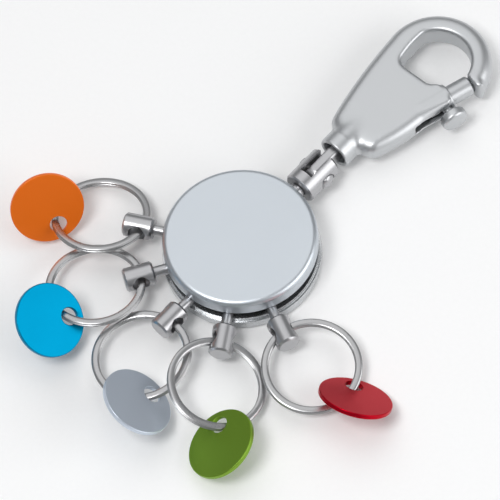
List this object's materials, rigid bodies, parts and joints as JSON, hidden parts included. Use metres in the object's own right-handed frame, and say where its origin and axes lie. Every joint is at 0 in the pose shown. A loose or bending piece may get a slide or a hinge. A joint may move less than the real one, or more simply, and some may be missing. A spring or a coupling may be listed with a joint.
{
  "type": "key organiser",
  "caption": "Round hub with split rings and coloured tags on swivelling studs in its side track, and a bolt-snap carabiner on a folding swivel fork.",
  "frame": {"origin": "middle of the hub's flat back face, on the hub's axis", "axes": "+Z along the hub's axis towards the top cover, +Y towards the carabiner, +X by the right-hand rule"},
  "size_m": [0.1092, 0.1418, 0.0178],
  "materials": {
    "shell_steel": "satin nickel plate",
    "cover_satin": "satin pearl lacquer",
    "race_steel": "turned steel",
    "bright_steel": "polished nickel plate",
    "ring_steel": "hardened and plated spring steel",
    "carabiner_chrome": "matt pearl chrome over die-cast zinc",
    "spring_steel": "spring wire",
    "tag_orange": "dyed anodised",
    "tag_blue": "dyed anodised",
    "tag_silver": "clear anodised",
    "tag_green": "dyed anodised",
    "tag_red": "dyed anodised"
  },
  "bodies": {
    "hub_base": {"base_shell": "shell_steel", "lower_race": "race_steel", "spring_bridge": "race_steel", "swivel_anchor": "race_steel", "shell_screws": "bright_steel", "swivel_stud": "bright_steel", "release_spring": "spring_steel"},
    "cover": {"top_cover": "cover_satin", "upper_race": "race_steel", "centre_post": "race_steel", "release_button": "shell_steel"},
    "stud_orange": {"stud_orange": "bright_steel"},
    "collar_orange": {"collar_orange": "bright_steel"},
    "ring_orange": {"split_ring_orange": "ring_steel"},
    "tag_orange": {"tag_orange": "tag_orange"},
    "stud_blue": {"stud_blue": "bright_steel"},
    "collar_blue": {"collar_blue": "bright_steel"},
    "ring_blue": {"split_ring_blue": "ring_steel"},
    "tag_blue": {"tag_blue": "tag_blue"},
    "stud_silver": {"stud_silver": "bright_steel"},
    "collar_silver": {"collar_silver": "bright_steel"},
    "ring_silver": {"split_ring_silver": "ring_steel"},
    "tag_silver": {"tag_silver": "tag_silver"},
    "stud_green": {"stud_green": "bright_steel"},
    "collar_green": {"collar_green": "bright_steel"},
    "ring_green": {"split_ring_green": "ring_steel"},
    "tag_green": {"tag_green": "tag_green"},
    "stud_red": {"stud_red": "bright_steel"},
    "collar_red": {"collar_red": "bright_steel"},
    "ring_red": {"split_ring_red": "ring_steel"},
    "tag_red": {"tag_red": "tag_red"},
    "fork": {"swivel_fork": "bright_steel", "fork_pin": "bright_steel"},
    "tongue": {"swivel_tongue": "bright_steel"},
    "carabiner": {"carabiner_body": "carabiner_chrome", "swivel_circlip": "spring_steel", "bolt_spring": "spring_steel"},
    "bolt": {"snap_bolt": "bright_steel", "thumb_knob": "carabiner_chrome"}
  },
  "joints": [
    {"name": "cover_lift", "type": "slide", "parent": "hub_base", "child": "cover", "axis": [0, 0, 1], "range_m": [0, 0.0019], "stiffness_N_per_m": 1200, "springref_m": -0.0025, "deforming": ["release_spring"]},
    {"name": "orange_track", "type": "hinge", "parent": "hub_base", "child": "stud_orange", "pos_m": [0, 0, 0.00595], "axis": [0, 0, 1], "range_deg": [-60, 6]},
    {"name": "orange_collar_spin", "type": "hinge", "parent": "stud_orange", "child": "collar_orange", "pos_m": [-0.02361, -0.01203, 0.00595], "axis": [-0.891, -0.454, 0], "range_deg": [-8, 140]},
    {"name": "orange_ring_swing", "type": "hinge", "parent": "collar_orange", "child": "ring_orange", "pos_m": [-0.02361, -0.01203, 0.00595], "axis": [-0.4405, 0.8645, -0.2419], "range_deg": [-5, 125]},
    {"name": "orange_tag_orbit", "type": "hinge", "parent": "ring_orange", "child": "tag_orange", "pos_m": [-0.03365, -0.01548, 0.00501], "axis": [-0.1563, 0.1915, 0.969], "range_deg": [-150, 28]},
    {"name": "blue_track", "type": "hinge", "parent": "hub_base", "child": "stud_blue", "pos_m": [0, 0, 0.00595], "axis": [0, 0, 1], "range_deg": [-6, 5]},
    {"name": "blue_collar_spin", "type": "hinge", "parent": "stud_blue", "child": "collar_blue", "pos_m": [-0.01404, -0.02247, 0.00595], "axis": [-0.5299, -0.848, 0], "range_deg": [-4, 140]},
    {"name": "blue_ring_swing", "type": "hinge", "parent": "collar_blue", "child": "ring_blue", "pos_m": [-0.01404, -0.02247, 0.00595], "axis": [-0.8376, 0.5234, -0.1564], "range_deg": [-8, 5]},
    {"name": "blue_tag_orbit", "type": "hinge", "parent": "ring_blue", "child": "tag_blue", "pos_m": [-0.02058, -0.03138, 0.00621], "axis": [-0.1141, 0.1124, 0.9871], "range_deg": [-80, 13]},
    {"name": "silver_track", "type": "hinge", "parent": "hub_base", "child": "stud_silver", "pos_m": [0, 0, 0.00595], "axis": [0, 0, 1], "range_deg": [-5, 2]},
    {"name": "silver_collar_spin", "type": "hinge", "parent": "stud_silver", "child": "collar_silver", "pos_m": [0, -0.0265, 0.00595], "axis": [0, -1, 0], "range_deg": [-5, 1]},
    {"name": "silver_ring_swing", "type": "hinge", "parent": "collar_silver", "child": "ring_silver", "pos_m": [0, -0.0265, 0.00595], "axis": [-0.9976, 0, -0.0698], "range_deg": [-125, 5]},
    {"name": "silver_tag_orbit", "type": "hinge", "parent": "ring_silver", "child": "tag_silver", "pos_m": [0.00128, -0.03827, 0.00542], "axis": [-0.0697, -0.0523, 0.9962], "range_deg": [-84, 16]},
    {"name": "green_track", "type": "hinge", "parent": "hub_base", "child": "stud_green", "pos_m": [0, 0, 0.00595], "axis": [0, 0, 1], "range_deg": [-2, 4]},
    {"name": "green_collar_spin", "type": "hinge", "parent": "stud_green", "child": "collar_green", "pos_m": [0.01404, -0.02247, 0.00595], "axis": [0.5299, -0.848, 0], "range_deg": [-140, 2]},
    {"name": "green_ring_swing", "type": "hinge", "parent": "collar_green", "child": "ring_green", "pos_m": [0.01404, -0.02247, 0.00595], "axis": [-0.8065, -0.504, 0.309], "range_deg": [-4, 3]},
    {"name": "green_tag_orbit", "type": "hinge", "parent": "ring_green", "child": "tag_green", "pos_m": [0.02103, -0.03229, 0.00615], "axis": [0.2434, 0.1933, 0.9505], "range_deg": [-27, 53]},
    {"name": "red_track", "type": "hinge", "parent": "hub_base", "child": "stud_red", "pos_m": [0, 0, 0.00595], "axis": [0, 0, 1], "range_deg": [-4, 50]},
    {"name": "red_collar_spin", "type": "hinge", "parent": "stud_red", "child": "collar_red", "pos_m": [0.02402, -0.0112, 0.00595], "axis": [0.9063, -0.4226, 0], "range_deg": [-140, 5]},
    {"name": "red_ring_swing", "type": "hinge", "parent": "collar_red", "child": "ring_red", "pos_m": [0.02402, -0.0112, 0.00595], "axis": [-0.4226, -0.9062, 0.0175], "range_deg": [-3, 125]},
    {"name": "red_tag_orbit", "type": "hinge", "parent": "ring_red", "child": "tag_red", "pos_m": [0.03511, -0.01316, 0.00456], "axis": [0.1178, -0.0358, 0.9924], "range_deg": [-82, 118]},
    {"name": "fork_swivel", "type": "hinge", "parent": "hub_base", "child": "fork", "pos_m": [0, 0.0278, 0.00595], "axis": [0, 1, 0], "continuous": true},
    {"name": "tongue_fold", "type": "hinge", "parent": "fork", "child": "tongue", "pos_m": [0, 0.0278, 0.00595], "axis": [-1, 0, 0], "range_deg": [-90, 90]},
    {"name": "carabiner_swivel", "type": "hinge", "parent": "tongue", "child": "carabiner", "pos_m": [0, 0.038, 0.00595], "axis": [0, 1, 0], "continuous": true},
    {"name": "bolt_slide", "type": "slide", "parent": "carabiner", "child": "bolt", "axis": [-0.2924, -0.9563, 0], "range_m": [0, 0.008], "stiffness_N_per_m": 250, "springref_m": -0.004, "deforming": ["bolt_spring"]}
  ]
}
